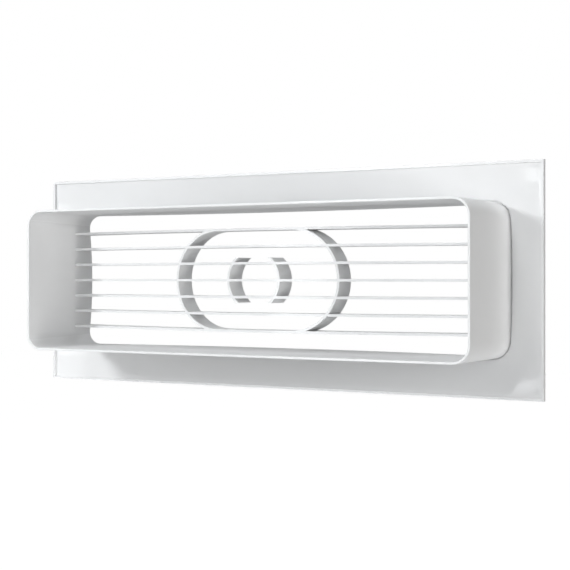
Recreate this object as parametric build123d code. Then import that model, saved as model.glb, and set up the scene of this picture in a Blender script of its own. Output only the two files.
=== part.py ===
"""Ventilation grille for a flat rectangular duct, in millimetres.

X runs along the width, Z up, and the duct lies on the -Y side. The origin is the
centre of the opening in the plane Y = 0, where the rim of the cover plate meets
the wall. Two mouldings: the domed cover plate, and the duct collar with its grille.
"""

import os
from math import sqrt

from build123d import *

# Duct collar
collar_width = 204.0  # outside, fits a 204 x 60 flat duct
collar_height = 60.0
collar_wall = 0.9
collar_corner_radius = 7.0  # outside
collar_reach = 35.0  # from the wall plane back to the mouth
mouth_rounding = 0.2

# Cover plate
plate_margin = 15.0  # from the collar out to the edge of the plate
plate_wall = 1.8  # at the middle of the opening's long sides
rim_width = 1.0
rim_depth = 2.0
rim_step = 0.9  # from the face of the rim back to where the sheet starts
dome_height = 25.6  # of the full dome, had it no opening

# Shadow groove round the collar, open towards the duct
groove_width = 0.6
groove_depth = 1.0

# Grille
slat_count = 7
slat_pitch = 6.9
slat_thickness = 1.0
slat_depth = 10.0
slat_setback = 3.7  # duct-side edge behind the wall plane, at the side walls
slat_bow = 11.5  # how much further the middle of a slat reaches into the duct
ring_straight = 35.0  # straight stretch of the stadium ring
arc_radius = 12.5  # outside
arc_half_height = 9.2

# Derived sizes
plate_width = collar_width + 2 * plate_margin
plate_height = collar_height + 2 * plate_margin
inner_width = collar_width - 2 * collar_wall
inner_height = collar_height - 2 * collar_wall
inner_radius = collar_corner_radius - collar_wall
ring_radius = (slat_count - 1) / 2 * slat_pitch + slat_thickness / 2  # meets the outer slats
slat_zs = [(i - (slat_count - 1) / 2) * slat_pitch for i in range(slat_count)]


def facing_duct(y):
    """Sketch plane at depth y: its X is the object's X, and its Y is up."""
    return Plane(origin=(0, y, 0), x_dir=(1, 0, 0), z_dir=(0, -1, 0))


def prism(outline, y_duct, y_room):
    """An outline drawn in X and Z, as a solid from y_duct to y_room."""
    return extrude(facing_duct(y_room) * outline, y_room - y_duct)


def rounded_outline(width, height, radius):
    return RectangleRounded(width, height, radius)


def dome_share(width, height, x, z):
    """Rise of a pillow dome at (x, z), as a share of its full height."""
    return (1 - (2 * x / width) ** 2) * (1 - (2 * z / height) ** 2)


def dome_block(width, height, y_back, y_edge, rise):
    """Solid from a flat back to a pillow dome, whose edges all lie in the plane y_edge.

    Each section of the dome along X or Z is a parabola, so three rows of three
    control points describe it, with only the middle one off the edge plane.
    """
    xs = (-width / 2, 0, width / 2)
    zs = (-height / 2, 0, height / 2)
    dome = Face.make_bezier_surface(
        [[Vector(x, y_edge + (4 * rise if x == z == 0 else 0), z) for z in zs] for x in xs]
    )

    def flat(*corners):
        return Face(Wire.make_polygon([Vector(*c) for c in corners], close=True))

    x, z = width / 2, height / 2
    faces = [dome, flat((-x, y_back, -z), (x, y_back, -z), (x, y_back, z), (-x, y_back, z))]
    for side in (-x, x):
        faces.append(
            flat((side, y_back, -z), (side, y_back, z), (side, y_edge, z), (side, y_edge, -z))
        )
    for side in (-z, z):
        faces.append(
            flat((-x, y_back, side), (x, y_back, side), (x, y_edge, side), (-x, y_edge, side))
        )
    return Solid(Shell(faces))


def make_cover_plate():
    """Domed sheet with a flat rim on the duct side and a grooved opening for the collar."""
    blank = dome_block(plate_width, plate_height, 0, rim_depth, dome_height)

    # The hollow on the duct side follows the dome, and reaches to one wall short of it
    pocket_width = plate_width - 2 * rim_width
    pocket_height = plate_height - 2 * rim_width
    dome_at_opening = dome_height * dome_share(plate_width, plate_height, 0, collar_height / 2)
    pocket_at_opening = rim_depth + dome_at_opening - plate_wall - rim_step
    pocket_rise = pocket_at_opening / dome_share(
        pocket_width, pocket_height, 0, collar_height / 2
    )
    pocket = dome_block(pocket_width, pocket_height, -1, rim_step, pocket_rise)

    hole = prism(
        rounded_outline(collar_width, collar_height, collar_corner_radius),
        -1,
        rim_depth + dome_height,
    )
    groove_outline = rounded_outline(
        collar_width + 2 * groove_width,
        collar_height + 2 * groove_width,
        collar_corner_radius + groove_width,
    )
    below_groove = dome_block(
        pocket_width, pocket_height, -1, rim_step + groove_depth, pocket_rise
    )
    groove = prism(groove_outline, -1, rim_depth + dome_height) & below_groove
    return blank - pocket - hole - groove


def collar_tube():
    """Open rounded-rectangular tube, cut off flush with the domed face of the plate."""
    y_mouth = -collar_reach
    y_far = rim_depth + dome_height
    outside = prism(
        rounded_outline(collar_width, collar_height, collar_corner_radius), y_mouth, y_far
    )
    inside = prism(
        rounded_outline(inner_width, inner_height, inner_radius), y_mouth - 1, y_far + 1
    )
    behind_dome = dome_block(plate_width, plate_height, y_mouth, rim_depth, dome_height)
    tube = (outside - inside) & behind_dome
    mouth_edges = tube.edges().filter_by_position(Axis.Y, y_mouth - 0.01, y_mouth + 0.01)
    return fillet(mouth_edges, mouth_rounding)


def grille_zone():
    """Curved slab that holds the slats, ring and arcs: it arches into the duct."""
    half = inner_width / 2
    radius = (half**2 + slat_bow**2) / (2 * slat_bow)
    y_centre = -slat_setback + sqrt(radius**2 - half**2)
    plan = Pos(0, y_centre) * Circle(radius) - Pos(0, y_centre + slat_depth) * Circle(radius)
    plan &= Rectangle(inner_width + collar_wall, 4 * (slat_bow + slat_depth))
    return extrude(plan, inner_height / 2, both=True)


def slats(y_duct, y_room):
    blade = Rectangle(inner_width + collar_wall, slat_thickness)
    return [prism(Pos(0, z) * blade, y_duct, y_room) for z in slat_zs]


def stadium_ring(y_duct, y_room):
    """Two half circles, joined by the outer slats at their ends."""
    centre_distance = ring_straight
    outside = SlotCenterToCenter(centre_distance, 2 * ring_radius)
    inside = SlotCenterToCenter(centre_distance, 2 * (ring_radius - slat_thickness))
    return prism(outside - inside, y_duct, y_room)


def short_arcs(y_duct, y_room):
    """Two arcs of one circle, left and right of the centre, cut off level."""
    circle = Circle(arc_radius) - Circle(arc_radius - slat_thickness)
    return prism(circle & Rectangle(2 * arc_radius, 2 * arc_half_height), y_duct, y_room)


def make_grille_collar():
    """The collar with the whole grille moulded into it."""
    y_duct, y_room = -slat_setback - slat_bow - 1, slat_depth
    bars = stadium_ring(y_duct, y_room) + short_arcs(y_duct, y_room)
    bars += slats(y_duct, y_room)
    return collar_tube() + (bars & grille_zone())


def one_solid(shape):
    """The single solid of a moulding, with an error if it came out in pieces."""
    solids = shape.solids()
    assert len(solids) == 1, f"expected one solid, got {len(solids)}"
    return solids[0]


nodes = {
    "cover_plate": one_solid(make_cover_plate()),
    "grille_collar": one_solid(make_grille_collar()),
}

os.makedirs("parts", exist_ok=True)
for name, solid in nodes.items():
    solid.label = name
    export_step(solid, f"parts/{name}.step")
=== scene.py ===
"""Ventilation grille for a flat duct: its finish, the studio and the camera."""

from math import cos, pi, sin

import bpy
from mathutils import Matrix, Vector


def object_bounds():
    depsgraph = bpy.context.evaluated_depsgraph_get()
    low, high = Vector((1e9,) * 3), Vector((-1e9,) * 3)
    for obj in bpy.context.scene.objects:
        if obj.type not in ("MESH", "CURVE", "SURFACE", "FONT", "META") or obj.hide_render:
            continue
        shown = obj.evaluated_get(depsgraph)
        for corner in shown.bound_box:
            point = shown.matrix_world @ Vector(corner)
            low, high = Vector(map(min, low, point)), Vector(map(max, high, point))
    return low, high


MM = 0.001

# Camera, as solved from the photograph's perspective. Its frame is square.
FRAME_PX = 570
FOCAL_PX = 1302.0
HORIZON_PX = 278.1  # row of the camera's own level
SENSOR = 36.0  # mm
CAMERA_TURN = 30.09  # degrees, towards the left wall of the collar
CAMERA_DISTANCE = 537.9 * MM  # to the plane through the aim point
AIM_X = 6.26 * MM
CAMERA_LEVEL = 0.86 * MM  # above the middle of the grille

# Studio
LAMP_DISTANCE = 0.9
COOL_WHITE = (0.965, 0.985, 1.0)
WARM_WHITE = (1.0, 0.99, 0.975)
FLOOR_DROP = 0.6  # from the lowest edge of the plate down to the floor
FLOOR_SIZE = 16.0


def principled(name):
    """A new material, its node tree and its Principled shader."""
    material = bpy.data.materials.new(name)
    material.use_nodes = True
    tree = material.node_tree
    return material, tree, tree.nodes["Principled BSDF"]


def node(tree, kind, **inputs):
    made = tree.nodes.new(kind)
    for key, value in inputs.items():
        made.inputs[key.replace("_", " ")].default_value = value
    return made


def ramp(tree, low, high):
    """A colour ramp from low to high."""
    made = tree.nodes.new("ShaderNodeValToRGB")
    made.color_ramp.elements[0].color = (*low, 1)
    made.color_ramp.elements[1].color = (*high, 1)
    return made


def white_plastic():
    """Glossy moulded plastic with a faint flow mottling and an almost flat surface."""
    material, tree, shader = principled("white_plastic_gloss")
    shader.inputs["IOR"].default_value = 1.5
    shader.inputs["Specular IOR Level"].default_value = 0.5
    place = tree.nodes.new("ShaderNodeTexCoord")

    # Faint flow marks in the colour, over a few centimetres
    mottle = node(tree, "ShaderNodeTexNoise", Scale=45.0, Detail=3.0, Roughness=0.55)
    tint = ramp(tree, (0.82, 0.82, 0.82), (0.86, 0.86, 0.86))
    tree.links.new(place.outputs["Object"], mottle.inputs["Vector"])
    tree.links.new(mottle.outputs["Fac"], tint.inputs["Fac"])
    tree.links.new(tint.outputs["Color"], shader.inputs["Base Color"])

    # Uneven gloss, and duller where the surface turns away
    haze = node(tree, "ShaderNodeTexNoise", Scale=160.0, Detail=4.0, Roughness=0.6)
    uneven = node(tree, "ShaderNodeMapRange", To_Min=-0.03, To_Max=0.03)
    tree.links.new(place.outputs["Object"], haze.inputs["Vector"])
    tree.links.new(haze.outputs["Fac"], uneven.inputs["Value"])
    turned = node(tree, "ShaderNodeLayerWeight", Blend=0.5)
    dull = node(tree, "ShaderNodeMapRange", From_Min=0.3, From_Max=0.6, To_Min=0.1, To_Max=0.7)
    tree.links.new(turned.outputs["Facing"], dull.inputs["Value"])
    gloss = tree.nodes.new("ShaderNodeMath")
    gloss.operation = "ADD"
    tree.links.new(uneven.outputs["Result"], gloss.inputs[0])
    tree.links.new(dull.outputs["Result"], gloss.inputs[1])
    tree.links.new(gloss.outputs[0], shader.inputs["Roughness"])

    # Very fine texture of the mould
    grain = node(tree, "ShaderNodeTexNoise", Scale=900.0, Detail=2.0)
    bump = node(tree, "ShaderNodeBump", Strength=0.15, Distance=0.00002)
    tree.links.new(place.outputs["Object"], grain.inputs["Vector"])
    tree.links.new(grain.outputs["Fac"], bump.inputs["Height"])
    tree.links.new(bump.outputs["Normal"], shader.inputs["Normal"])
    return material


def dress_nodes(material):
    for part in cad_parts.values():
        for index in range(len(part.material_slots)):
            part.material_slots[index].material = material


def make_camera():
    data = bpy.data.cameras.new("camera")
    data.sensor_width = SENSOR
    data.lens = SENSOR * FOCAL_PX / FRAME_PX
    data.shift_y = (HORIZON_PX - FRAME_PX / 2) / FRAME_PX
    data.clip_start = 0.01
    camera = bpy.data.objects.new("camera", data)
    turn = CAMERA_TURN * pi / 180
    forward = Matrix.Rotation(turn, 3, "Z") @ Vector((0, 1, 0))
    camera.location = Vector((AIM_X, 0, CAMERA_LEVEL)) - CAMERA_DISTANCE * forward
    camera.rotation_euler = (pi / 2, 0, turn)
    bpy.context.scene.collection.objects.link(camera)
    bpy.context.scene.camera = camera


def softbox(name, azimuth, elevation, size, watts, colour, width=None):
    """Square lamp that faces the grille: azimuth runs from the duct side to the right.

    With a width it is a strip, which shows in the gloss alone. The others only light.
    """
    data = bpy.data.lights.new(name, "AREA")
    data.shape = "RECTANGLE"
    data.size = width or size
    data.size_y = size
    data.energy = watts
    data.color = colour
    lamp = bpy.data.objects.new(name, data)
    turn, lift = azimuth * pi / 180, elevation * pi / 180
    away = Vector((sin(turn) * cos(lift), -cos(turn) * cos(lift), sin(lift)))
    lamp.location = LAMP_DISTANCE * away
    lamp.rotation_euler = (-away).to_track_quat("-Z", "Y").to_euler()
    lamp.visible_glossy = width is not None
    lamp.visible_diffuse = width is None
    bpy.context.scene.collection.objects.link(lamp)


def seen_share(tree):
    """Node output: 1 for camera, glossy and transmission rays, and 0 for other light."""
    rays = tree.nodes.new("ShaderNodeLightPath")
    share = rays.outputs["Is Camera Ray"]
    for kind in ("Is Glossy Ray", "Is Transmission Ray"):
        either = tree.nodes.new("ShaderNodeMath")
        either.operation = "MAXIMUM"
        tree.links.new(share, either.inputs[0])
        tree.links.new(rays.outputs[kind], either.inputs[1])
        share = either.outputs[0]
    return share


def make_world(ambient):
    """White where it is seen, and as strong as ambient where it lights."""
    world = bpy.data.worlds.new("studio")
    bpy.context.scene.world = world
    world.use_nodes = True
    tree = world.node_tree
    background = tree.nodes["Background"]
    background.inputs["Color"].default_value = (1, 1, 1, 1)
    level = node(tree, "ShaderNodeMapRange", To_Min=ambient, To_Max=1.0)
    tree.links.new(seen_share(tree), level.inputs["Value"])
    tree.links.new(level.outputs["Result"], background.inputs["Strength"])


def make_floor(z):
    """Pale floor that turns pure white away from the object, and keeps its shadow."""
    bpy.ops.mesh.primitive_plane_add(size=FLOOR_SIZE, location=(0, 0, z))
    floor = bpy.context.object
    floor.name = "floor"
    material, tree, shader = principled("floor_white")
    shader.inputs["Base Color"].default_value = (0.9, 0.9, 0.9, 1)
    shader.inputs["Roughness"].default_value = 1.0
    shader.inputs["Specular IOR Level"].default_value = 0.0
    shader.inputs["Emission Color"].default_value = (1, 1, 1, 1)

    place = tree.nodes.new("ShaderNodeTexCoord")
    reach = tree.nodes.new("ShaderNodeVectorMath")
    reach.operation = "LENGTH"
    tree.links.new(place.outputs["Object"], reach.inputs[0])
    glow = node(tree, "ShaderNodeMapRange", From_Min=0.2, From_Max=0.6, To_Min=0.7, To_Max=1.0)
    tree.links.new(reach.outputs["Value"], glow.inputs["Value"])
    seen_glow = tree.nodes.new("ShaderNodeMath")
    seen_glow.operation = "MULTIPLY"
    tree.links.new(seen_share(tree), seen_glow.inputs[0])
    tree.links.new(glow.outputs["Result"], seen_glow.inputs[1])
    tree.links.new(seen_glow.outputs[0], shader.inputs["Emission Strength"])
    floor.data.materials.append(material)


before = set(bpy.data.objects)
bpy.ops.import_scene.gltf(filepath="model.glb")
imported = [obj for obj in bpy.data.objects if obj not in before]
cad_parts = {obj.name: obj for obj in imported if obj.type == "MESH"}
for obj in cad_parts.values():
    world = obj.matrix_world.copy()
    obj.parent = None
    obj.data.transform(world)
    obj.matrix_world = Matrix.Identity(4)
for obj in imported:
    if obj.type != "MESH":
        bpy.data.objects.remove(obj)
cad_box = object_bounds()

dress_nodes(white_plastic())
make_camera()
make_world(0.0)
softbox("key", -35, 17, 0.15, 3.6, COOL_WHITE)
softbox("key_strip", -23, 11, 0.55, 0.75, COOL_WHITE, width=0.16)
softbox("high_front", -15, 60, 0.3, 1.9, COOL_WHITE)
softbox("front_fill", 0, 0, 1.0, 3.3, COOL_WHITE)
softbox("top", 0, 90, 0.3, 3.0, COOL_WHITE)
softbox("front_right", 30, 5, 0.3, 1.0, COOL_WHITE)
softbox("side_right", 75, -10, 0.3, 2.6, WARM_WHITE)
softbox("room_side", 180, 30, 0.3, 2.8, COOL_WHITE)
make_floor(cad_box[0][2] - FLOOR_DROP)

scene = bpy.context.scene
scene.view_settings.view_transform = "Standard"
